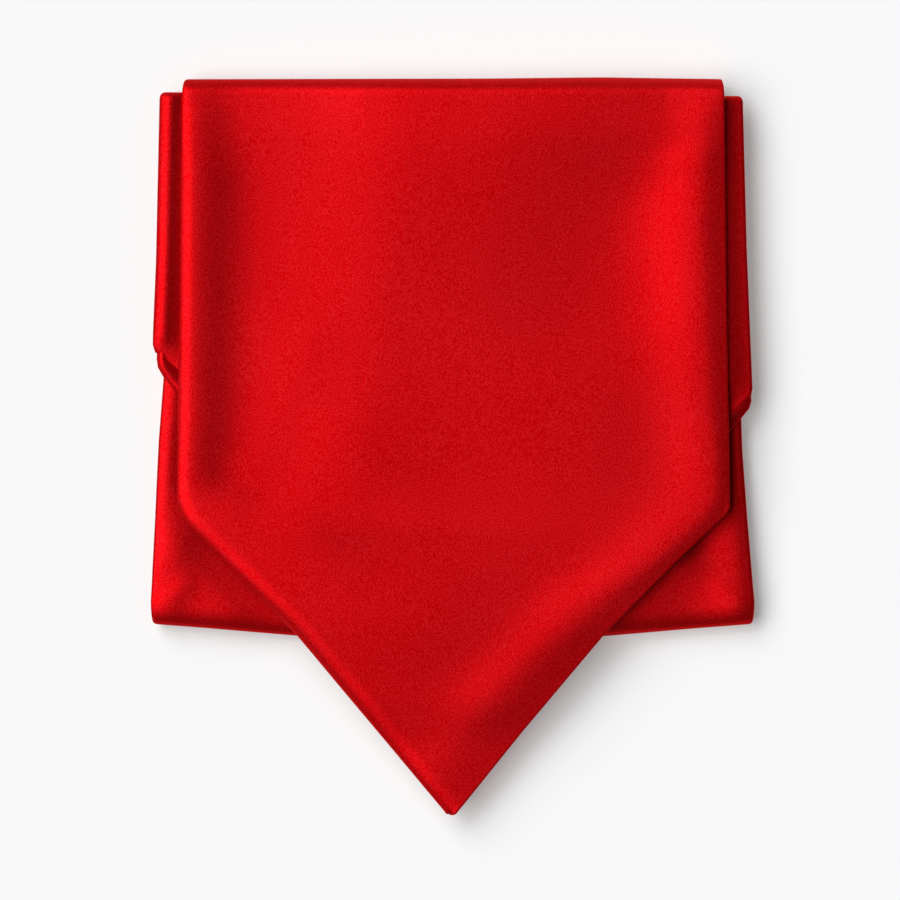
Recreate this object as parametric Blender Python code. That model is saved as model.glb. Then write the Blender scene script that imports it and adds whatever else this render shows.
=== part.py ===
"""A red silk cravat folded flat, lying on its underside.

+Z is up, the point of the front blade is toward -Y, and the origin is under the middle of the packet.
Sizes are in millimetres and become metres when a mesh is written. Each ply is a wall round a sheet of
points: rows run along the cloth and columns run across it, from the left edge to the right one.
"""

import math

import bpy
import numpy as np

MM = 0.001
SILK_RED = (0.56, 0.004, 0.008, 1.0)
SHADED_RED = (0.42, 0.003, 0.006, 1.0)
SATIN_ROUGHNESS = 0.38
CREASE_ANGLE = math.radians(50)

# Thickness of each wall, the gap between two that lie on each other, and the rounding of a cut edge
FRONT_PLY = 1.5
FACE_PLY = 1.1
BACK_PLY = 1.0
FOLD_PLY = 1.3
HIDDEN_STACK = 2.8
GAP = 0.3
EDGE_ROUND = 0.55

# Heights of the middle of each wall, stacked from the surface upwards
FRONT_UNDER = FRONT_PLY / 2
FOLD_UNDER = FOLD_PLY / 2
HIDDEN_LOW = FRONT_PLY + GAP
HIDDEN_HIGH = HIDDEN_LOW + HIDDEN_STACK
FOLD_OVER = HIDDEN_HIGH + GAP + FOLD_PLY / 2
BACK_OVER = FOLD_OVER + FOLD_PLY / 2 + GAP + BACK_PLY / 2
FACE_OVER = BACK_OVER + BACK_PLY / 2 + GAP + FACE_PLY / 2
FACE_TURNED = HIDDEN_HIGH + GAP + FACE_PLY / 2
FRONT_OVER = FACE_OVER + FACE_PLY / 2 + GAP + FRONT_PLY / 2

# Outlines from above. Each row is a rung across the cloth: left x, left y, right x, right y
FRONT_RUNGS = (
    (-76.5, 98.5, 76.3, 98.5),
    (-77.0, 33.0, 77.1, 33.0),
    (-77.8, -17.6, 77.9, -17.6),
    (-77.0, -19.4, 77.1, -19.4),
    (-43.5, -52.8, 42.8, -52.9),
    (-2.6, -102.0, 2.3, -102.0),
    (-1.4, -103.3, 1.2, -103.3),
    (-0.6, -103.8, 0.5, -103.8),
)
FACE_RUNGS = (
    (-82.1, 97.6, 81.6, 96.5),
    (-83.1, 52.0, 82.7, 55.0),
    (-84.1, 28.6, 84.3, 16.2),
    (-83.6, 26.6, 83.9, 14.2),
    (-77.3, 21.4, 77.7, 8.0),
    (-34.0, -16.0, 44.0, -22.0),
    (10.0, -49.2, 13.0, -49.4),
)
BACK_RUNGS = (
    (-80.5, 95.6, 80.0, 95.6),
    (-82.0, 45.0, 82.6, 45.0),
    (-82.9, 24.6, 84.0, 12.6),
    (-82.6, 22.4, 83.4, 10.6),
    (-81.1, 19.7, 81.2, 7.9),
    (-77.4, 15.1, 77.7, 3.9),
    (-34.0, -19.5, 44.0, -25.5),
    (10.0, -51.0, 13.0, -51.2),
)
FOLD_RUNGS = (
    (-80.6, 88.0, 80.6, 88.0),
    (-81.1, 19.5, 81.2, 7.7),
    (-82.5, 1.8, 81.5, -1.1),
    (-83.6, -20.2, 82.9, -20.2),
    (-84.7, -40.5, 84.6, -40.5),
    (-85.1, -46.3, 85.1, -46.3),
)

# How far a fold bulges past a straight line: x, bulge
TOP_CROWN = ((-76.0, 0.0), (-20.0, 0.45), (42.0, 0.85), (66.0, 0.75), (76.0, 0.1))
HEM_SAG = (
    (-85.0, 0.0), (-69.0, 1.2), (-55.0, 2.4), (-43.0, 3.4), (0.0, 3.9),
    (43.0, 3.4), (55.0, 2.4), (69.0, 1.2), (85.0, 0.0),
)
SAG_START = 20.0
FOLD_PULL = 1.3

# How far each turned-under stretch runs back, and how its rows are spaced along it
FRONT_UNDER_END = 30.0
FOLD_UNDER_END = FRONT_UNDER_END - GAP
FACE_TURN_END = 88.0 + GAP
UNDER_SHARES = (0.0, 0.3, 0.65, 1.0)

# The solid of hidden plies from above, and its layered edge: height above its base, inset
HIDDEN_HALF_WIDTH = 79.5
HIDDEN_TOP = 95.5
HIDDEN_BOTTOM = -46.0
HIDDEN_CORNER = 4.0
HIDDEN_EDGE = (
    (0.0, 1.1), (0.2, 0.3), (0.5, 0.0), (0.75, 0.4), (0.95, 1.3), (1.15, 0.5), (1.4, 0.2),
    (1.65, 0.6), (1.87, 1.4), (2.1, 0.6), (2.35, 0.3), (2.6, 0.7), (HIDDEN_STACK, 1.5),
)
CORNER_STEPS = 4
HEM_SHARES = (0.8, 0.5, 0.2, -0.2, -0.5, -0.8)

# The rear blade's point edges, over which the front blade sinks, and the droop off the packet
REAR_LEFT = (-84.1, 27.1)
REAR_POINT = (11.8, -51.0)
REAR_RIGHT = (84.3, 14.4)
STEP_DOWN = 1.5
STEP_WIDTH = 22.0
DROOP_START = -44.0
POINT_Y = -103.8
DROOP = 5.0
CALM_AT_POINT = 0.8

# Soft ridges of the front blade, each highest on a line from (x, y) to (end_x, end_y)
RIDGE = ("x", "y", "end_x", "end_y", "right_spread", "left_spread", "lift")
RIDGES = (
    (-4.0, 96.0, -15.0, 62.0, 30.0, 13.0, 1.5),
    (-15.0, 62.0, -20.0, 20.0, 26.0, 14.0, 1.3),
    (-20.0, 20.0, -46.0, -22.0, 16.0, 12.0, 1.0),
    (14.0, 92.0, 13.0, 52.0, 9.0, 10.0, 0.6),
    (32.0, 20.0, 28.0, -30.0, 16.0, 9.0, 0.8),
)
RIDGE_END = 16.0

# The raised bead inside each side edge: its distance in, its spread outwards and inwards, its lift
BEAD = ("inward", "outer_spread", "inner_spread", "lift")
SIDE_BEADS = ((5.0, 4.2, 6.0, 0.9), (7.0, 5.0, 14.0, 1.6))
EDGE_DROP = 0.2
EDGE_DROP_WIDTH = 2.4

# Points across each sheet, the longest step between its rungs, and the steps round each fold
FRONT_COLUMNS, FRONT_STEP, FRONT_FOLD_STEPS = 25, 6.5, 10
FACE_COLUMNS, FACE_STEP, FACE_FOLD_STEPS = 15, 13.0, 6
BACK_COLUMNS, BACK_STEP = 13, 16.0
FOLD_COLUMNS, FOLD_STEP, HEM_STEPS = 17, 10.0, 8
COLUMN_BUNCHING = 0.4 * math.pi


def rungs_between(table, longest):
    """The rungs of a table with more set between them, so that no two are further apart than longest."""
    filled = []
    for upper, lower in zip(np.array(table[:-1]), np.array(table[1:])):
        steps = max(1, math.ceil(np.abs(upper - lower)[[1, 3]].max() / longest))
        filled += [upper + (lower - upper) * step / steps for step in range(steps)]
    return np.array(filled + [table[-1]])


def sheet_of(rungs, columns):
    """(x, y) of a sheet from its rungs, with the columns closer together at both edges."""
    across = np.sin(np.linspace(-COLUMN_BUNCHING, COLUMN_BUNCHING, columns))
    share = (1 + across / math.sin(COLUMN_BUNCHING)) / 2
    left_x, left_y, right_x, right_y = rungs.T[:, :, None]
    return left_x + (right_x - left_x) * share, left_y + (right_y - left_y) * share


def bulge(table, x):
    places, values = zip(*table)
    return np.interp(x, places, values)


def ease(start, end, value):
    """0 before start and 1 past end, with a smooth rise between them."""
    share = np.clip((value - start) / (end - start), 0.0, 1.0)
    return share * share * (3 - 2 * share)


def beyond(start, end, x, y):
    """How far a point lies to the right of the line from start to end."""
    along_x, along_y = end[0] - start[0], end[1] - start[1]
    return ((x - start[0]) * along_y - (y - start[1]) * along_x) / math.hypot(along_x, along_y)


def ridge_lift(x, y, row):
    """Height of one soft ridge, which falls away unevenly on its two sides."""
    ridge = dict(zip(RIDGE, row))
    start, end = (ridge["x"], ridge["y"]), (ridge["end_x"], ridge["end_y"])
    length = math.dist(start, end)
    along = ((x - start[0]) * (end[0] - start[0]) + (y - start[1]) * (end[1] - start[1])) / length
    past_end = along - np.clip(along, 0.0, length)
    side = beyond(start, end, x, y)
    spread = np.where(side > 0, ridge["right_spread"], ridge["left_spread"])
    return ridge["lift"] * np.exp(-((side / spread) ** 2) - (past_end / RIDGE_END) ** 2)


def distance_in(x, y, corners):
    """Distance of points from an edge that runs through these corners."""
    nearest = np.full(np.shape(x), np.inf)
    for (x0, y0), (x1, y1) in zip(corners, corners[1:]):
        run_x, run_y = x1 - x0, y1 - y0
        share = ((x - x0) * run_x + (y - y0) * run_y) / (run_x**2 + run_y**2)
        share = np.clip(share, 0.0, 1.0)
        nearest = np.minimum(nearest, np.hypot(x - x0 - share * run_x, y - y0 - share * run_y))
    return nearest


def front_height(x, y):
    """Height of the middle of the front blade's wall where it lies on top of the packet."""
    past_rear = np.maximum(beyond(REAR_LEFT, REAR_POINT, x, y), beyond(REAR_POINT, REAR_RIGHT, x, y))
    height = FRONT_OVER - STEP_DOWN * ease(0.0, STEP_WIDTH, past_rear)
    # The droop is the first half of an ease, so the cloth is still falling at its point
    height = height - 2 * DROOP * ease(DROOP_START, 2 * POINT_Y - DROOP_START, y)
    calm = 1 - CALM_AT_POINT * ease(DROOP_START, POINT_Y, y)
    for row in RIDGES:
        height = height + calm * ridge_lift(x, y, row)
    left_edge = [row[:2] for row in FRONT_RUNGS]
    right_edge = [row[2:] for row in FRONT_RUNGS]
    for edge, row in zip((left_edge, right_edge), SIDE_BEADS):
        bead = dict(zip(BEAD, row))
        inward = distance_in(x, y, edge)
        spread = np.where(inward < bead["inward"], bead["outer_spread"], bead["inner_spread"])
        height = height + bead["lift"] * calm * np.exp(-(((inward - bead["inward"]) / spread) ** 2))
        height = height - EDGE_DROP * (1 - ease(0.0, EDGE_DROP_WIDTH, inward))
    return height


def pulled_in(x, share):
    """A row of x drawn in at both ends, as cloth is where it turns round a fold."""
    return x * (1 - FOLD_PULL * share / np.abs(x).max())


def turned(x, y, high, low, reach, steps):
    """Rows that carry a sheet round a fold, from height high to height low, bulging along Y by reach."""
    rows = []
    for step in range(1, steps):
        angle = math.pi * step / steps
        height = (high + low) / 2 + (high - low) / 2 * math.cos(angle)
        rows.append((pulled_in(x, (1 - math.cos(angle)) / 2), y + reach * math.sin(angle), height))
    return rows


def turned_under(x, y, end_y, height):
    """Rows of the flat stretch under a fold, from the fold back to end_y."""
    return [(pulled_in(x, 1.0), y + (end_y - y) * share, height) for share in UNDER_SHARES]


def stacked(rows):
    """One sheet of points from rows of (x, y, z)."""
    return np.array([np.stack(np.broadcast_arrays(*row), axis=-1) for row in rows])


def silk(name, colour):
    material = bpy.data.materials.new(name)
    material.use_nodes = True
    shader = material.node_tree.nodes["Principled BSDF"]
    shader.inputs["Base Color"].default_value = colour
    shader.inputs["Roughness"].default_value = SATIN_ROUGHNESS
    shader.inputs["Metallic"].default_value = 0.0
    return material


def add_object(name, points, faces, material):
    mesh = bpy.data.meshes.new(name)
    mesh.from_pydata((points * MM).tolist(), [], faces)
    mesh.materials.append(material)
    mesh.shade_smooth()
    mesh.set_sharp_from_angle(angle=CREASE_ANGLE)
    bpy.context.scene.collection.objects.link(bpy.data.objects.new(name, mesh))


def border_of(rows, columns):
    """The cells round the edge of a sheet, in order, and the cell inside each of them."""
    last_row, last_column = rows - 1, columns - 1
    border = [(row, 0) for row in range(last_row)]
    border += [(last_row, column) for column in range(last_column)]
    border += [(row, last_column) for row in range(last_row, 0, -1)]
    border += [(0, column) for column in range(last_column, 0, -1)]
    inside = [
        (min(max(row, 1), last_row - 1), min(max(column, 1), last_column - 1)) for row, column in border
    ]
    return border, inside


def cloth_wall(name, sheet, thickness, material):
    """A closed wall round a sheet of points, with a blunt rounded edge."""
    rows, columns = sheet.shape[:2]
    size = rows * columns
    outward = np.cross(np.gradient(sheet, axis=0), np.gradient(sheet, axis=1))
    outward *= thickness / 2 / np.linalg.norm(outward, axis=2, keepdims=True)
    border, inside = border_of(rows, columns)
    drawn_in = sheet.copy()
    for cell, inner in zip(border, inside):
        step = sheet[inner] - sheet[cell]
        drawn_in[cell] += step * min(EDGE_ROUND / np.linalg.norm(step), 0.4)
    rim = np.array([sheet[cell] for cell in border])
    points = np.concatenate([(drawn_in + outward).reshape(-1, 3), (drawn_in - outward).reshape(-1, 3), rim])

    faces = []
    for row in range(rows - 1):
        for corner in range(row * columns, row * columns + columns - 1):
            quad = [corner, corner + columns, corner + columns + 1, corner + 1]
            faces.append(quad)
            faces.append([size + number for number in reversed(quad)])
    edge = [row * columns + column for row, column in border]
    for here in range(len(edge)):
        there = (here + 1) % len(edge)
        rim_here, rim_there = 2 * size + here, 2 * size + there
        faces.append([edge[here], rim_here, rim_there, edge[there]])
        faces.append([rim_here, size + edge[here], size + edge[there], rim_there])
    add_object(name, points, faces, material)


def front_blade(material):
    """The pointed blade on top, wrapped over the top fold and a short way under the packet."""
    x, y = sheet_of(rungs_between(FRONT_RUNGS, FRONT_STEP), FRONT_COLUMNS)
    top_x, top_y = x[0], y[0]
    reach = (FRONT_OVER - FRONT_UNDER) / 2 + bulge(TOP_CROWN, top_x)
    rows = list(reversed(turned_under(top_x, top_y, FRONT_UNDER_END, FRONT_UNDER)))
    rows += reversed(turned(top_x, top_y, front_height(top_x, top_y), FRONT_UNDER, reach, FRONT_FOLD_STEPS))
    rows += zip(x, y, front_height(x, y))
    cloth_wall("front_blade", stacked(rows), FRONT_PLY, material)


def rear_blade_face(material):
    """The face of the pointed blade beneath, turned over the inner top fold."""
    x, y = sheet_of(rungs_between(FACE_RUNGS, FACE_STEP), FACE_COLUMNS)
    top_x, top_y = x[0], y[0]
    reach = (FACE_OVER - FACE_TURNED) / 2
    rows = list(reversed(turned_under(top_x, top_y, FACE_TURN_END, FACE_TURNED)))
    rows += reversed(turned(top_x, top_y, FACE_OVER, FACE_TURNED, reach, FACE_FOLD_STEPS))
    rows += [(row_x, row_y, FACE_OVER) for row_x, row_y in zip(x, y)]
    cloth_wall("rear_blade_face", stacked(rows), FACE_PLY, material)


def rear_blade_back(material):
    """The back ply of the same blade, whose point edge shows below the face's."""
    x, y = sheet_of(rungs_between(BACK_RUNGS, BACK_STEP), BACK_COLUMNS)
    rows = [(row_x, row_y, BACK_OVER) for row_x, row_y in zip(x, y)]
    cloth_wall("rear_blade_back", stacked(rows), BACK_PLY, material)


def lower_fold(material):
    """The stretch below the blades, turned under along its rolled bottom edge."""
    x, y = sheet_of(rungs_between(FOLD_RUNGS, FOLD_STEP), FOLD_COLUMNS)
    y = y - bulge(HEM_SAG, x) * ease(SAG_START, y.min(), y)
    end_x, end_y = x[-1], y[-1]
    reach = (FOLD_UNDER - FOLD_OVER) / 2
    rows = [(row_x, row_y, FOLD_OVER) for row_x, row_y in zip(x, y)]
    rows += turned(end_x, end_y, FOLD_OVER, FOLD_UNDER, reach, HEM_STEPS)
    rows += turned_under(end_x, end_y, FOLD_UNDER_END, FOLD_UNDER)
    cloth_wall("lower_fold", stacked(rows), FOLD_PLY, material)


def hidden_outline():
    """The hidden plies from above, anticlockwise: a point of the inner frame and the way out from it."""
    right = HIDDEN_HALF_WIDTH - HIDDEN_CORNER
    top = HIDDEN_TOP - HIDDEN_CORNER
    bottom = HIDDEN_BOTTOM + HIDDEN_CORNER
    outline = []
    for quarter, (x, y) in enumerate(((right, top), (-right, top), (-right, bottom), (right, bottom))):
        for step in range(CORNER_STEPS + 1):
            angle = math.pi / 2 * (quarter + step / CORNER_STEPS)
            outline.append((x, y, math.cos(angle), math.sin(angle)))
        if quarter == 2:
            outline += [(-share * right, bottom, 0.0, -1.0) for share in HEM_SHARES]
    return np.array(outline)


def hidden_folds(material):
    """The neckband and the rest of the blades, folded away: one rounded solid, layered at its edges."""
    x, y, way_x, way_y = hidden_outline().T
    slices = []
    for height, inset in HIDDEN_EDGE:
        slice_x = x + way_x * (HIDDEN_CORNER - inset)
        slice_y = y + way_y * (HIDDEN_CORNER - inset)
        slice_y = slice_y - bulge(HEM_SAG, slice_x) * ease(SAG_START, HIDDEN_BOTTOM, slice_y)
        slices.append(np.stack([slice_x, slice_y, np.full_like(x, HIDDEN_LOW + height)], axis=-1))
    count = len(x)
    top_start = (len(slices) - 1) * count
    faces = [list(range(count - 1, -1, -1)), list(range(top_start, top_start + count))]
    for low in range(0, top_start, count):
        for here in range(count):
            there = (here + 1) % count
            faces.append([low + here, low + there, low + count + there, low + count + here])
    add_object("hidden_folds", np.concatenate(slices), faces, material)


def main():
    for obj in list(bpy.data.objects):
        bpy.data.objects.remove(obj, do_unlink=True)
    satin = silk("silk_satin", SILK_RED)
    shaded = silk("silk_satin_shaded", SHADED_RED)
    front_blade(satin)
    rear_blade_face(satin)
    rear_blade_back(shaded)
    lower_fold(satin)
    hidden_folds(shaded)


main()
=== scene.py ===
"""A red silk satin cravat, folded flat on a pale surface and seen from straight above.

Sizes are in millimetres and become metres when a mesh is written. Every stretch of silk is a sheet of
points: rows run along the cloth and columns run across it, from the left edge to the right one. A sheet
is then given its thickness and soft rounded edges. The tables come first: outlines, folds, ridges, beads
and light. The functions that read them follow, then one function for each stretch of silk, the satin, the
studio and the camera.
"""

import math

import bpy
import numpy as np
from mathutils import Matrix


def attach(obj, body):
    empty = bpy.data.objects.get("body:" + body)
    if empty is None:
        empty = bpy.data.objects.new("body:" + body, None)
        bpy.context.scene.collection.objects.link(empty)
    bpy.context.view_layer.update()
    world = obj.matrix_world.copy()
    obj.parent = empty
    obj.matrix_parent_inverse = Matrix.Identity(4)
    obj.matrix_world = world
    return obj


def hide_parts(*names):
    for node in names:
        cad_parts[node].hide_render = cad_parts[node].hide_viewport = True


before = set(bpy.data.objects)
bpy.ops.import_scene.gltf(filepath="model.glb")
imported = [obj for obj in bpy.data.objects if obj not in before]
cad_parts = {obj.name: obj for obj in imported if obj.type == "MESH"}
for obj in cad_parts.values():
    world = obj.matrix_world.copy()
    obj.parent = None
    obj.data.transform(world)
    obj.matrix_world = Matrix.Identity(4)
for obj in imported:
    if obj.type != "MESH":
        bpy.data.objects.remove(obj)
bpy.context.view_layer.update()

MM = 0.001

# Thickness of each ply and how far in from its edge it rounds off
FRONT_PLY, FRONT_ROUND, FRONT_RIGHT_ROUND = 1.3, 1.0, 0.45
FACE_PLY, FACE_ROUND = 1.1, 0.9
BACK_PLY, BACK_ROUND = 1.0, 0.8
FOLD_PLY, FOLD_ROUND = 1.3, 1.2
NECK_PLY, NECK_ROUND = 0.8, 0.6

# Heights of the middle of each ply above the surface, as the packet is stacked
FRONT_UNDER, FRONT_OVER = 0.75, 9.85
FOLD_UNDER, FOLD_OVER = 0.65, 5.55
BACK_OVER = 7.0
FACE_TURNED, FACE_OVER = 5.45, 8.35
NECK_LEVELS = (2.25, 3.2, 4.15)

# Outlines from above. Each row is a rung across the cloth: left x, left y, right x, right y
FRONT_RUNGS = (
    (-76.0, 98.5, 76.3, 98.5),
    (-76.5, 33.0, 77.1, 33.0),
    (-77.3, -17.2, 77.9, -17.2),
    (-77.1, -18.3, 77.3, -18.3),
    (-76.4, -19.4, 76.6, -19.4),
    (-72.5, -23.6, 72.1, -23.6),
    (-64.0, -32.2, 63.1, -32.2),
    (-43.5, -52.8, 42.6, -52.9),
    (-20.8, -80.0, 19.8, -80.0),
    (-1.45, -103.2, 1.15, -103.2),
)
FACE_RUNGS = (
    (-82.1, 97.6, 81.6, 96.5),
    (-83.1, 52.0, 82.7, 55.0),
    (-84.1, 28.6, 84.3, 16.2),
    (-83.6, 26.6, 83.9, 14.2),
    (-77.3, 21.4, 77.7, 8.0),
    (-34.0, -16.0, 44.0, -22.0),
    (10.0, -49.2, 13.0, -49.4),
)
BACK_RUNGS = (
    (-80.5, 95.6, 80.0, 95.6),
    (-82.0, 45.0, 82.6, 45.0),
    (-82.9, 24.6, 84.0, 12.6),
    (-82.6, 22.4, 83.4, 10.6),
    (-81.1, 19.7, 81.2, 7.9),
    (-77.4, 15.1, 77.7, 3.9),
    (-34.0, -19.5, 44.0, -25.5),
    (10.0, -51.0, 13.0, -51.2),
)
FOLD_RUNGS = (
    (-80.6, 88.0, 80.6, 88.0),
    (-81.1, 19.5, 81.2, 7.7),
    (-82.5, 1.8, 81.5, -1.1),
    (-83.6, -20.2, 82.9, -20.2),
    (-84.7, -40.5, 84.6, -40.5),
    (-84.9, -43.4, 84.9, -43.4),
)
NECK_RUNGS = ((-79.3, 94.0, 79.3, 94.0), (-79.3, -42.5, 79.3, -42.5))

# Width of each stretch, and how far apart its rows and columns of points lie
FRONT_WIDTH, FRONT_ROWS, FRONT_COLUMNS = 154.0, 1.3, 1.25
FACE_WIDTH, FACE_ROWS, FACE_COLUMNS = 166.0, 1.6, 2.0
BACK_WIDTH, BACK_ROWS, BACK_COLUMNS = 164.0, 1.8, 2.2
FOLD_WIDTH, FOLD_ROWS, FOLD_COLUMNS = 168.0, 1.5, 1.8
NECK_WIDTH, NECK_ROWS, NECK_COLUMNS = 158.6, 3.0, 4.0
UNDER_ROWS = 2.5

# Places of the first columns in from each edge, where the cloth rounds off
EDGE_COLUMNS = (0.0, 0.1, 0.25, 0.45, 0.7, 1.0, 1.35, 1.75, 2.25, 2.85, 3.6)

# Number of steps round each fold
FRONT_TURN, FACE_TURN, FOLD_TURN, NECK_TURN = 22, 12, 24, 8

# The last row but one of a turned-under stretch lies this share of a step from its end
LAST_STEP = 0.4

# The rounded tip of the front blade
TIP_X, TIP_Y, TIP_RADIUS = -0.15, -102.1, 1.7
TIP_ANGLES = (48, 57, 66, 75, 83)

# How far a fold bulges past a straight line: x, bulge
TOP_CROWN = ((-76.0, 0.0), (-20.0, 0.1), (10.0, 0.15), (42.0, 0.5), (66.0, 0.15), (76.0, 0.0))
HEM_SAG = (
    (-85.0, 0.0), (-69.0, 1.2), (-55.0, 2.4), (-43.0, 3.4), (0.0, 3.9),
    (43.0, 3.4), (55.0, 2.4), (69.0, 1.2), (85.0, 0.0),
)

# Height y below which the hem starts to sag, how far the top fold and the hem reach past the last rung, and
# how far each end of a row is drawn in where it turns under
SAG_START = 20.0
TOP_REACH = 4.15
HEM_REACH = 6.0
FOLD_PULL = 1.3

# How far each turned-under stretch runs back
FRONT_UNDER_END = 30.0
FOLD_UNDER_END = 29.7
FACE_TURN_END = 88.3

# Width of the lower fold's turned-under stretch at each y, as a share of its width at the hem
UNDER_TAPER = ((-44.0, 1.0), (29.7, 0.955))

# The rear blade's point edges, and the soft step by which the front blade sinks past them
REAR_LEFT = (-84.1, 27.1)
REAR_POINT = (11.8, -51.0)
REAR_RIGHT = (84.3, 14.4)
STEP_DOWN = 0.1
STEP_WIDTH = 22.0
POINT_SOFTNESS = 16.0

# The droop of the front blade's point off the packet
DROOP_START = -30.0
POINT_Y = -103.8
DROOP = 4.2

# How far the front blade sinks towards its top fold: x, drop. It does so between these heights y
TOP_ROLL = (
    (-76.0, 0.6), (-60.0, 0.65), (-25.0, 0.2), (20.0, 0.5), (60.0, 0.65), (70.0, 0.2), (76.0, 0.0),
)
TOP_ROLL_SPAN = (85.0, 100.0)

# Soft ridges of the front blade, each highest on a line drawn downwards from (x, y) to (end_x, end_y). One
# with a lift below 0 is a hollow
RIDGE = ("x", "y", "end_x", "end_y", "left_spread", "right_spread", "end_spread", "lift")
RIDGES = (
    (-9.5, 88.0, -21.0, 8.0, 29.0, 52.0, 28.0, 2.0),
    (30.0, 100.0, 26.0, 86.0, 45.0, 32.0, 15.0, 0.9),
    (-32.0, -2.0, -44.0, -18.0, 16.0, 22.0, 13.0, 0.3),
    (-42.0, -26.0, -54.0, -35.0, 14.0, 20.0, 12.0, 0.3),
    (15.0, 78.0, 12.0, 40.0, 14.0, 18.0, 18.0, 0.15),
    (54.0, 84.0, 52.0, 62.0, 18.0, 20.0, 18.0, -0.3),
    (76.0, 56.0, 76.0, -24.0, 26.0, 20.0, 26.0, 0.95),
    (74.0, 106.0, 72.0, 94.0, 62.0, 20.0, 15.0, 2.2),
    (39.0, 14.0, 37.0, -22.0, 34.0, 26.0, 19.0, 1.25),
    (-5.0, -26.0, -9.0, -50.0, 34.0, 34.0, 14.0, 0.75),
    (-42.0, 28.0, -64.0, -17.0, 24.0, 9.0, 10.0, 0.27),
)

# The same kind of ridges on the lower fold: one beside the front blade's left slanted edge, one that starts
# under its right slanted edge, and one at each mitred corner of the hem
FOLD_RIDGES = (
    (-77.0, -30.0, -58.0, -52.0, 9.0, 6.5, 8.0, 0.9),
    (59.3, -30.3, 38.8, -51.0, 10.0, 12.5, 8.0, 1.9),
    (-76.0, -40.0, -83.5, -47.0, 2.4, 2.4, 3.0, 0.35),
    (76.0, -40.0, 83.5, -47.0, 2.4, 2.4, 3.0, 0.15),
)

# Raised beads inside the edges. Each row holds, at the height y, how far in the bead's crest lies, how far it
# spreads outwards and inwards, and its lift. One that spreads by 0 outwards is rolled round instead
BEAD = ("y", "crest_in", "outward", "inward", "lift")
LEFT_BEADS = (
    (102.0, 3.0, 0.0, 6.0, 0.3),
    (90.0, 3.2, 0.0, 8.0, 1.1),
    (74.0, 3.5, 0.0, 9.5, 1.75),
    (8.0, 3.5, 0.0, 9.0, 1.75),
    (-8.0, 3.4, 0.0, 8.0, 1.4),
    (-26.0, 4.6, 0.0, 35.0, 2.1),
    (-52.0, 5.0, 0.0, 70.0, 3.0),
    (-70.0, 5.0, 0.0, 65.0, 2.9),
    (-86.0, 5.0, 0.0, 38.0, 2.2),
    (-103.0, 5.0, 0.0, 38.0, 2.2),
)
RIGHT_BEADS = (
    (102.0, 3.0, 4.0, 5.0, 0.0),
    (90.0, 5.0, 6.0, 7.5, 0.5),
    (78.0, 7.0, 7.5, 10.0, 1.3),
    (62.0, 7.9, 8.0, 13.0, 1.6),
    (36.0, 7.2, 7.8, 12.5, 1.45),
    (24.0, 6.2, 7.0, 12.5, 1.35),
    (-5.0, 4.4, 5.2, 12.0, 1.3),
    (-28.0, 4.6, 5.4, 10.0, 1.25),
    (-48.0, 8.2, 8.4, 10.5, 1.35),
    (-62.0, 10.6, 10.2, 9.5, 1.2),
    (-84.0, 10.8, 9.5, 8.5, 0.4),
    (-103.0, 10.8, 9.5, 8.5, 0.4),
)
REAR_LEFT_BEADS = (
    (100.0, 2.8, 0.0, 3.0, 1.7),
    (34.0, 2.8, 0.0, 3.0, 1.7),
    (22.0, 2.8, 0.0, 3.0, 0.3),
    (-60.0, 2.8, 0.0, 3.0, 0.0),
)
REAR_RIGHT_BEADS = (
    (100.0, 8.5, 5.5, 6.0, 1.8),
    (22.0, 8.5, 5.5, 6.0, 1.8),
    (6.0, 8.5, 5.5, 6.0, 0.0),
    (-60.0, 8.5, 5.5, 6.0, 0.0),
)
BACK_LEFT_BEADS = (
    (40.0, 1.2, 0.0, 2.4, 0.0),
    (25.0, 1.2, 0.0, 2.2, 2.1),
    (15.0, 1.2, 0.0, 2.4, 1.5),
    (2.0, 1.2, 0.0, 2.4, 0.0),
)
BACK_RIGHT_BEADS = (
    (28.0, 3.6, 2.8, 5.0, 0.0),
    (14.0, 3.0, 2.4, 4.5, 1.4),
    (2.0, 3.0, 2.4, 4.5, 1.4),
    (-10.0, 3.6, 2.8, 5.0, 0.0),
)
FOLD_LEFT_BEADS = (
    (90.0, 3.2, 0.0, 2.8, 1.0),
    (-8.0, 3.2, 0.0, 2.8, 1.0),
    (-26.0, 4.5, 0.0, 7.0, 0.8),
    (-46.0, 4.5, 0.0, 8.0, 0.5),
)
FOLD_RIGHT_BEADS = (
    (90.0, 4.5, 4.0, 9.0, 0.3),
    (0.0, 4.5, 4.0, 9.0, 0.3),
    (-26.0, 4.5, 4.0, 9.0, 0.8),
    (-46.0, 4.5, 4.0, 9.0, 0.8),
)

# How softly two runs of an edge blend where they meet, and the height y that an edge's first run comes from.
# That is well above the top fold, so that no bead rounds off there
BEAD_BLEND = 1.5
EDGE_START = 160.0

# The bead along the hem of the lower fold: how far in its crest lies, its spread and its lift
HEM_BEAD_IN, HEM_BEAD_SPREAD, HEM_BEAD = -0.5, 7.0, 0.45

# Row of FRONT_RUNGS at which each side turns towards the point
SHOULDER = 3

# The satin's two colours, between which its grain and its slow changes of tone mix, and its roughness
# The grain is partly the weave's own floats and partly painted glint: it speckles LIT_SILK, a paler, pinker
# red, over SHADED_SILK
SHADED_SILK = (0.478, 0.0, 0.001, 1.0)
LIT_SILK = (0.586, 0.0076, 0.0116, 1.0)
GRAIN_CONTRAST, TONE_CONTRAST, SHADED_SHARE = 3.0, 0.5, 1.3
SILK_ROUGHNESS, ROUGHNESS_CHANGE = 0.45, 0.1

# Broad soft lamps from the left and from the upper left, each with its strength, and its angular spread,
# height and turn in degrees. The first shapes the long edges, and the second the top edge and the shadows
KEY_LIGHT = (2.2, 54.0, 55.0, 187.0)
TOP_LIGHT = (2.25, 44.0, 42.0, 129.0)
FILL_STRENGTH = 0.06

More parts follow.
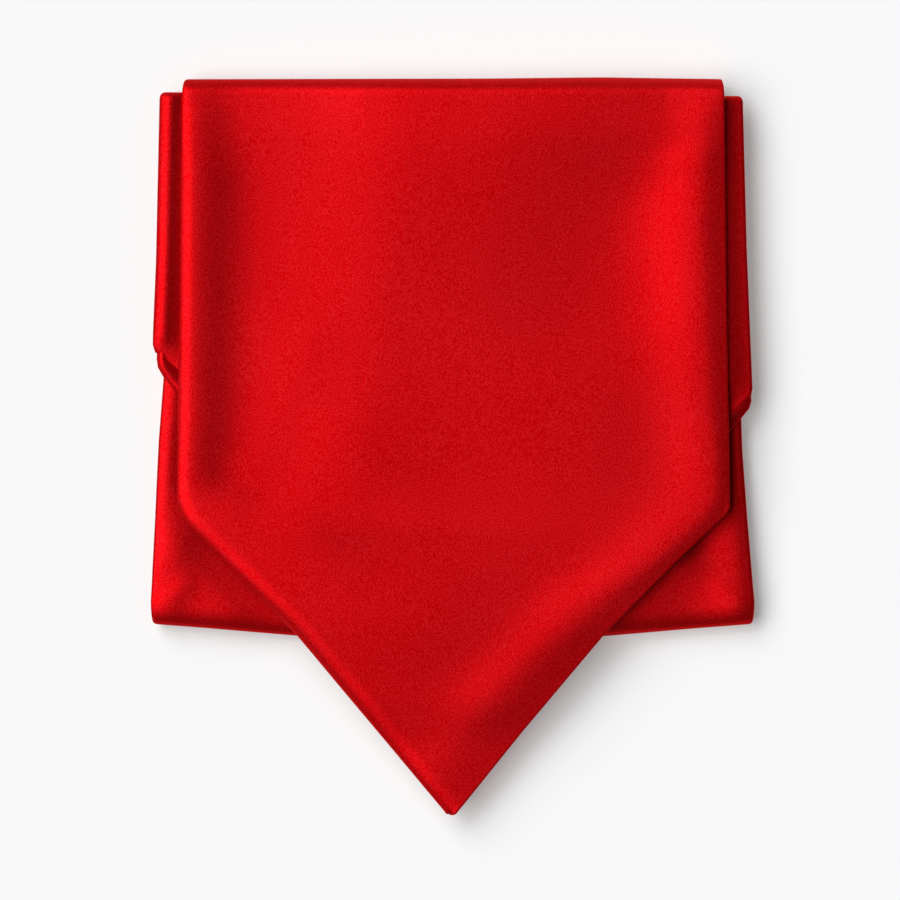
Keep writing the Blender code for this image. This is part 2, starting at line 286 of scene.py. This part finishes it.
# The floor, in metres. It lies a little below the cloth, so that the two never share a plane
FLOOR_REACH = 3.0
FLOOR_GAP = 0.0002
FLOOR_COLOUR = (0.6, 0.605, 0.602, 1.0)
FLOOR_GLOW = 0.275

# The overhead camera, in metres except for its sensor
SENSOR = 36.0
CAMERA_HEIGHT = 4.0
FARTHEST_SEEN = 20.0
VIEW_WIDTH = 0.2536
VIEW_X, VIEW_Y = -0.000775, -0.001057


def along(rows, longest):
    """The rungs of a table with more set between them, so that no two are further apart than longest."""
    filled = []
    for upper, lower in zip(np.array(rows[:-1]), np.array(rows[1:])):
        steps = max(1, math.ceil(np.abs(upper - lower)[[1, 3]].max() / longest))
        filled += [upper + (lower - upper) * step / steps for step in range(steps)]
    return np.array(filled + [rows[-1]])


def across(width, spacing):
    """Shares from 0 to 1 across a cloth of this width, finest at its two edges."""
    first = np.array(EDGE_COLUMNS) / width
    columns = round((width - 2 * EDGE_COLUMNS[-1]) / spacing) + 1
    middle = np.linspace(first[-1], 1 - first[-1], columns)
    return np.concatenate([first[:-1], middle, 1 - first[-2::-1]])


def sheet_of(rungs, shares):
    """The x and y of every point of a sheet, a row for each rung and a column for each share of its width."""
    left_x, left_y, right_x, right_y = rungs.T[:, :, None]
    return left_x + (right_x - left_x) * shares, left_y + (right_y - left_y) * shares


def value_at(table, x):
    """The value at x in a table of places and values."""
    places, values = zip(*table)
    return np.interp(x, places, values)


def ease(start, end, value):
    """0 before start and 1 past end, with a smooth rise between them."""
    share = np.clip((value - start) / (end - start), 0.0, 1.0)
    return share * share * (3 - 2 * share)


def beyond(start, end, x, y):
    """How far a point lies to the right of the line from start to end."""
    along_x, along_y = end[0] - start[0], end[1] - start[1]
    return ((x - start[0]) * along_y - (y - start[1]) * along_x) / math.hypot(along_x, along_y)


def ridge_lift(x, y, row):
    """Height of one soft ridge, which falls away unevenly on its two sides."""
    ridge = dict(zip(RIDGE, row))
    start, end = (ridge["x"], ridge["y"]), (ridge["end_x"], ridge["end_y"])
    length = math.dist(start, end)
    run = ((x - start[0]) * (end[0] - start[0]) + (y - start[1]) * (end[1] - start[1])) / length
    past_end = run - np.clip(run, 0.0, length)
    # The line runs downwards, so what lies beyond it has the smaller x and is on the cloth's left
    side = beyond(start, end, x, y)
    spread = np.where(side > 0, ridge["left_spread"], ridge["right_spread"])
    return ridge["lift"] * np.exp(-((side / spread) ** 2) - (past_end / ridge["end_spread"]) ** 2)


def distance_in(x, y, runs):
    """Distance of points from an edge made of these runs, blended where two runs are as near."""
    nearness = 0.0
    for corners in runs:
        away = np.inf
        for (x0, y0), (x1, y1) in zip(corners, corners[1:]):
            run_x, run_y = x1 - x0, y1 - y0
            share = ((x - x0) * run_x + (y - y0) * run_y) / (run_x**2 + run_y**2)
            share = np.clip(share, 0.0, 1.0)
            away = np.minimum(away, np.hypot(x - x0 - share * run_x, y - y0 - share * run_y))
        nearness = nearness + np.exp(-away / BEAD_BLEND)
    return np.maximum(-BEAD_BLEND * np.log(nearness), 0.0)


def bead_lift(x, y, runs, beads):
    """Lift of the bead inside one edge, whose sizes ease from each row of its table to the next."""
    beads = np.array(beads)
    row = np.searchsorted(-beads[1:-1, 0], -y)
    share = ease(beads[row, 0], beads[row + 1, 0], y)
    sizes = beads[row] + (beads[row + 1] - beads[row]) * share[..., None]
    bead = dict(zip(BEAD, np.moveaxis(sizes, -1, 0)))
    past_crest = distance_in(x, y, runs) - bead["crest_in"]
    rolled = np.sqrt(1 - np.clip(past_crest / bead["crest_in"], -1.0, 0.0) ** 2)
    sloping = bead["outward"] > 0
    sloped = np.exp(-((past_crest / np.where(sloping, bead["outward"], 1.0)) ** 2))
    outside = np.where(sloping, sloped, rolled)
    inside = np.exp(-((past_crest / bead["inward"]) ** 2))
    return bead["lift"] * np.where(past_crest < 0, outside, inside)


def edge_of(rungs, side, turn=None):
    """The left or right edge in a table of rungs, as one run or as two that meet at row turn."""
    column = 0 if side == "left" else 2
    corners = [tuple(row[column:column + 2]) for row in rungs]
    corners = [(corners[0][0], EDGE_START)] + corners
    return [corners] if turn is None else [corners[:turn + 2], corners[turn + 1:]]


def front_height(x, y):
    """Height of the middle of the front blade's ply where it lies on top of the packet."""
    past_left, past_right = beyond(REAR_LEFT, REAR_POINT, x, y), beyond(REAR_POINT, REAR_RIGHT, x, y)
    past_rear = (past_left + past_right + np.hypot(past_left - past_right, POINT_SOFTNESS)) / 2
    height = FRONT_OVER - STEP_DOWN * ease(0.0, STEP_WIDTH, past_rear)
    height = height - value_at(TOP_ROLL, x) * ease(*TOP_ROLL_SPAN, y)
    # The droop is the first half of an ease, so the cloth is still falling at its tip
    height = height - 2 * DROOP * ease(DROOP_START, 2 * POINT_Y - DROOP_START, y)
    for row in RIDGES:
        height = height + ridge_lift(x, y, row)
    left, right = (edge_of(FRONT_RUNGS, side, SHOULDER) for side in ("left", "right"))
    return height + bead_lift(x, y, left, LEFT_BEADS) + bead_lift(x, y, right, RIGHT_BEADS)


def pulled_in(x, share):
    """A row of x drawn in at both ends, as cloth is where it turns round a fold."""
    return x * (1 - FOLD_PULL * share / np.abs(x).max())


def turned(x, y, high, low, reach, steps):
    """Rows that carry a sheet round a fold, from height high to height low, bulging along Y by reach."""
    rows = []
    for step in range(1, steps):
        angle = math.pi * step / steps
        height = (high + low) / 2 + (high - low) / 2 * math.cos(angle)
        rows.append((pulled_in(x, (1 - math.cos(angle)) / 2), y + reach * math.sin(angle), height))
    return rows


def turned_under(x, y, end_y, height, spacing):
    """Rows of the flat stretch under a fold, from the fold back to end_y."""
    steps = max(2, round(np.abs(end_y - y).max() / spacing))
    shares = np.append(np.arange(steps) / steps, [1 - LAST_STEP / steps, 1.0])
    return [(pulled_in(x, 1.0), y + (end_y - y) * share, height) for share in shares]


def stacked(rows):
    """One sheet of points from rows of (x, y, z)."""
    return np.array([np.stack(np.broadcast_arrays(*row), axis=-1) for row in rows])


def inset_of(sheet, rounding, right_rounding):
    """How far in each point of a sheet lies from its nearest edge, as a share of that edge's rounding."""
    run = np.linalg.norm(np.diff(sheet, axis=1), axis=2)
    from_left = np.concatenate([np.zeros((len(sheet), 1)), np.cumsum(run, axis=1)], axis=1)
    from_right = from_left[:, -1:] - from_left
    down = np.linalg.norm(np.diff(sheet, axis=0), axis=2)
    from_start = np.concatenate([np.zeros((1, sheet.shape[1])), np.cumsum(down, axis=0)], axis=0)
    from_end = from_start[-1:] - from_start
    slants = []
    for edge, inner in ((0, 1), (-1, -2)):
        tangent = np.gradient(sheet[:, edge], axis=0)
        inside = sheet[:, inner] - sheet[:, edge]
        square = np.linalg.norm(np.cross(tangent, inside), axis=1)
        slants.append(square / (np.linalg.norm(tangent, axis=1) * np.linalg.norm(inside, axis=1)))
    sides = np.minimum(
        from_left * slants[0][:, None] / rounding, from_right * slants[1][:, None] / right_rounding)
    return np.clip(np.minimum(sides, np.minimum(from_start, from_end) / rounding), 0.0, 1.0)


def silk_piece(name, sheet, ply, rounding, body_node, finish, right_rounding=None):
    """One stretch of silk: a closed thin shell round a sheet of points, with soft rounded edges."""
    rows, columns = sheet.shape[:2]
    outward = np.cross(np.gradient(sheet, axis=0), np.gradient(sheet, axis=1))
    outward /= np.linalg.norm(outward, axis=2, keepdims=True)
    inset = inset_of(sheet, rounding, right_rounding or rounding)
    half = ply / 2 * np.sqrt(1 - (1 - inset) ** 2)
    rise = outward * half[:, :, None]
    on_border = np.zeros((rows, columns), bool)
    on_border[[0, -1]] = on_border[:, [0, -1]] = True
    over = np.arange(rows * columns).reshape(rows, columns)
    under = over.copy()
    under[~on_border] = rows * columns + np.arange((~on_border).sum())
    points = np.concatenate([(sheet + rise).reshape(-1, 3), (sheet - rise)[~on_border]])
    outer = np.stack([over[:-1, :-1], over[1:, :-1], over[1:, 1:], over[:-1, 1:]], axis=-1).reshape(-1, 4)
    inner = np.stack([under[:-1, 1:], under[1:, 1:], under[1:, :-1], under[:-1, :-1]], axis=-1)
    faces = np.concatenate([outer, inner.reshape(-1, 4)])
    mesh = bpy.data.meshes.new(name)
    mesh.from_pydata((points * MM).tolist(), [], faces.tolist())
    mesh.materials.append(finish)
    mesh.shade_smooth()
    piece = bpy.data.objects.new(name, mesh)
    bpy.context.scene.collection.objects.link(piece)
    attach(piece, "root")
    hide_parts(body_node)
    return piece


def front_blade(finish):
    """The pointed blade on top, wrapped over the top fold and a short way under the packet."""
    tip = [
        (TIP_X - TIP_RADIUS * math.cos(angle), TIP_Y - TIP_RADIUS * math.sin(angle),
         TIP_X + TIP_RADIUS * math.cos(angle), TIP_Y - TIP_RADIUS * math.sin(angle))
        for angle in map(math.radians, TIP_ANGLES)
    ]
    rungs = np.concatenate([along(FRONT_RUNGS, FRONT_ROWS), tip])
    x, y = sheet_of(rungs, across(FRONT_WIDTH, FRONT_COLUMNS))
    top_x, top_y = x[0], y[0]
    reach = TOP_REACH + value_at(TOP_CROWN, top_x)
    rows = turned_under(top_x, top_y, FRONT_UNDER_END, FRONT_UNDER, UNDER_ROWS)[::-1]
    rows += turned(top_x, top_y, front_height(top_x, top_y), FRONT_UNDER, reach, FRONT_TURN)[::-1]
    rows += zip(x, y, front_height(x, y))
    sheet = stacked(rows)
    piece = silk_piece(
        "front_blade_silk", sheet, FRONT_PLY, FRONT_ROUND, "front_blade", finish, FRONT_RIGHT_ROUND)


def rear_blade_face(finish):
    """The face of the pointed blade beneath, turned over the inner top fold."""
    x, y = sheet_of(along(FACE_RUNGS, FACE_ROWS), across(FACE_WIDTH, FACE_COLUMNS))
    height = FACE_OVER + bead_lift(x, y, edge_of(FACE_RUNGS, "left"), REAR_LEFT_BEADS)
    height = height + bead_lift(x, y, edge_of(FACE_RUNGS, "right"), REAR_RIGHT_BEADS)
    top_x, top_y = x[0], y[0]
    reach = (FACE_OVER - FACE_TURNED) / 2
    rows = turned_under(top_x, top_y, FACE_TURN_END, FACE_TURNED, UNDER_ROWS)[::-1]
    rows += turned(top_x, top_y, height[0], FACE_TURNED, reach, FACE_TURN)[::-1]
    rows += zip(x, y, height)
    piece = silk_piece("rear_face_silk", stacked(rows), FACE_PLY, FACE_ROUND, "rear_blade_face", finish)


def rear_blade_back(finish):
    """The back ply of the same blade, whose point edge shows below the face's."""
    x, y = sheet_of(along(BACK_RUNGS, BACK_ROWS), across(BACK_WIDTH, BACK_COLUMNS))
    height = BACK_OVER + bead_lift(x, y, edge_of(BACK_RUNGS, "left"), BACK_LEFT_BEADS)
    height = height + bead_lift(x, y, edge_of(BACK_RUNGS, "right"), BACK_RIGHT_BEADS)
    sheet = np.stack([x, y, height], axis=-1)
    piece = silk_piece("rear_back_silk", sheet, BACK_PLY, BACK_ROUND, "rear_blade_back", finish)


def lower_fold(finish):
    """The stretch below the blades, turned under along its rolled bottom edge."""
    x, y = sheet_of(along(FOLD_RUNGS, FOLD_ROWS), across(FOLD_WIDTH, FOLD_COLUMNS))
    y = y - value_at(HEM_SAG, x) * ease(SAG_START, y.min(), y)
    end_x, end_y = x[-1], y[-1]
    height = FOLD_OVER + bead_lift(x, y, edge_of(FOLD_RUNGS, "left"), FOLD_LEFT_BEADS)
    height = height + bead_lift(x, y, edge_of(FOLD_RUNGS, "right"), FOLD_RIGHT_BEADS)
    height = height + HEM_BEAD * np.exp(-(((y - y[-1] - HEM_BEAD_IN) / HEM_BEAD_SPREAD) ** 2))
    for row in FOLD_RIDGES:
        height = height + ridge_lift(x, y, row)
    rows = list(zip(x, y, height))
    rows += turned(end_x, end_y, height[-1], FOLD_UNDER, -HEM_REACH, FOLD_TURN)
    for row_x, row_y, row_z in turned_under(end_x, end_y, FOLD_UNDER_END, FOLD_UNDER, UNDER_ROWS):
        rows.append((row_x * value_at(UNDER_TAPER, row_y), row_y, row_z))
    piece = silk_piece("lower_fold_silk", stacked(rows), FOLD_PLY, FOLD_ROUND, "lower_fold", finish)


def neckband(finish):
    """The neckband and the rest of the blades, folded to and fro inside the packet."""
    x, y = sheet_of(along(NECK_RUNGS, NECK_ROWS), across(NECK_WIDTH, NECK_COLUMNS))
    y = y - value_at(HEM_SAG, x) * ease(SAG_START, y.min(), y)
    rows = []
    for number, level in enumerate(NECK_LEVELS):
        leaf = [(row_x, row_y, level) for row_x, row_y in zip(x, y)]
        way = 1 if number % 2 == 0 else -1
        rows += leaf[::-way]
        if number < len(NECK_LEVELS) - 1:
            row_x, row_y, _ = rows[-1]
            above = NECK_LEVELS[number + 1]
            rows += turned(row_x, row_y, level, above, way * (above - level) / 2, NECK_TURN)
    piece = silk_piece("neckband_silk", stacked(rows), NECK_PLY, NECK_ROUND, "hidden_folds", finish)


class Wire:
    """A socket's output that can be used in sums, each of which adds a Math node to the finish."""

    def __init__(self, finish, socket):
        self.finish, self.socket = finish, socket

    def worked_out(self, operation, first, second):
        return self.finish.node("ShaderNodeMath", {"operation": operation}, {0: first, 1: second})

    def __add__(self, other):
        return self.worked_out("ADD", self, other)

    def __sub__(self, other):
        return self.worked_out("SUBTRACT", self, other)

    def __rsub__(self, other):
        return self.worked_out("SUBTRACT", other, self)

    def __mul__(self, other):
        return self.worked_out("MULTIPLY", self, other)

    __radd__ = __add__
    __rmul__ = __mul__


class Finish:
    """A material, whose nodes all come from one method."""

    def __init__(self, name):
        self.material = bpy.data.materials.new(name)
        self.material.use_nodes = True
        self.nodes = self.material.node_tree.nodes
        self.links = self.material.node_tree.links
        self.shader = self.nodes["Principled BSDF"]

    def node(self, kind, settings=None, inputs=None, output=0):
        """Adds one node, with its settings made first, and gives back one of its outputs."""
        made = self.nodes.new(kind)
        for setting, value in (settings or {}).items():
            setattr(made, setting, value)
        self.fill(made, inputs or {})
        return Wire(self, made.outputs[output])

    def fill(self, made, inputs):
        """Sets or links sockets of a node."""
        for socket, value in inputs.items():
            if isinstance(value, Wire):
                self.links.new(value.socket, made.inputs[socket])
            else:
                made.inputs[socket].default_value = value


def satin(name):
    """Red silk satin: fine uneven floats whose grain is partly painted glint, a soft tinted sheen and a
    slight change of tone over the cloth.
    """
    finish = Finish(name)
    place = finish.node("ShaderNodeTexCoord", output="Object")
    grain = finish.node("ShaderNodeTexNoise", inputs={
        "Vector": place, "Scale": 2200.0, "Detail": 1.0, "Roughness": 0.6})
    tone = finish.node("ShaderNodeTexNoise", inputs={"Vector": place, "Scale": 28.0, "Detail": 2.0})
    # Painted glint: the fine grain speckles the paler, pinker lit silk over the shaded one, standing in for
    # floats that catch the light
    glint_and_grain_share = grain * GRAIN_CONTRAST + tone * TONE_CONTRAST - SHADED_SHARE
    mix = finish.node(
        "ShaderNodeMix", {"data_type": "RGBA"},
        {"Factor": glint_and_grain_share, "A": SHADED_SILK, "B": LIT_SILK}, output="Result")
    bump = finish.node("ShaderNodeBump", inputs={"Height": grain, "Strength": 0.2, "Distance": 0.0002})
    finish.fill(finish.shader, {
        "Base Color": mix,
        "Roughness": SILK_ROUGHNESS + grain * ROUGHNESS_CHANGE,
        "Normal": bump,
        "Metallic": 0.8,
        "Specular IOR Level": 0.4,
        "Specular Tint": (1.0, 0.05, 0.06, 1.0),
    })
    return finish.material


def studio():
    """A pale floor, broad soft lamps from the left and the upper left, and an even fill."""
    mesh = bpy.data.meshes.new("floor")
    reach = FLOOR_REACH
    corners = [(-reach, -reach, 0), (reach, -reach, 0), (reach, reach, 0), (-reach, reach, 0)]
    mesh.from_pydata(corners, [], [(0, 1, 2, 3)])
    floor = bpy.data.objects.new("floor", mesh)
    floor.location.z = -FLOOR_GAP
    paper = Finish("pale_paper")
    paper.fill(paper.shader, {"Base Color": FLOOR_COLOUR, "Roughness": 0.9, "Specular IOR Level": 0.0,
                              "Emission Color": (1.0, 1.0, 1.0, 1.0), "Emission Strength": FLOOR_GLOW})
    mesh.materials.append(paper.material)
    bpy.context.scene.collection.objects.link(floor)

    for name, (strength, spread, height, turn) in (("window", KEY_LIGHT), ("skylight", TOP_LIGHT)):
        sun = bpy.data.lights.new(name, "SUN")
        sun.energy = strength
        sun.angle = math.radians(spread)
        lamp = bpy.data.objects.new(name, sun)
        lamp.rotation_euler = (0.0, math.radians(90 - height), math.radians(turn))
        bpy.context.scene.collection.objects.link(lamp)

    world = bpy.data.worlds.new("room")
    world.use_nodes = True
    world.node_tree.nodes["Background"].inputs["Color"].default_value = (1.0, 1.0, 1.0, 1.0)
    world.node_tree.nodes["Background"].inputs["Strength"].default_value = FILL_STRENGTH
    bpy.context.scene.world = world


def camera():
    """A long lens straight above, so that the packet's height doesn't spread its outline."""
    lens = bpy.data.cameras.new("overhead")
    lens.sensor_width = SENSOR
    lens.lens = SENSOR * CAMERA_HEIGHT / VIEW_WIDTH
    lens.clip_end = FARTHEST_SEEN
    eye = bpy.data.objects.new("overhead", lens)
    eye.location = (VIEW_X, VIEW_Y, CAMERA_HEIGHT)
    bpy.context.scene.collection.objects.link(eye)
    bpy.context.scene.camera = eye


camera()
studio()
silk = satin("red_silk")
front_blade(silk)
rear_blade_face(silk)
rear_blade_back(silk)
lower_fold(silk)
neckband(silk)
bpy.context.scene.view_settings.view_transform = "Standard"
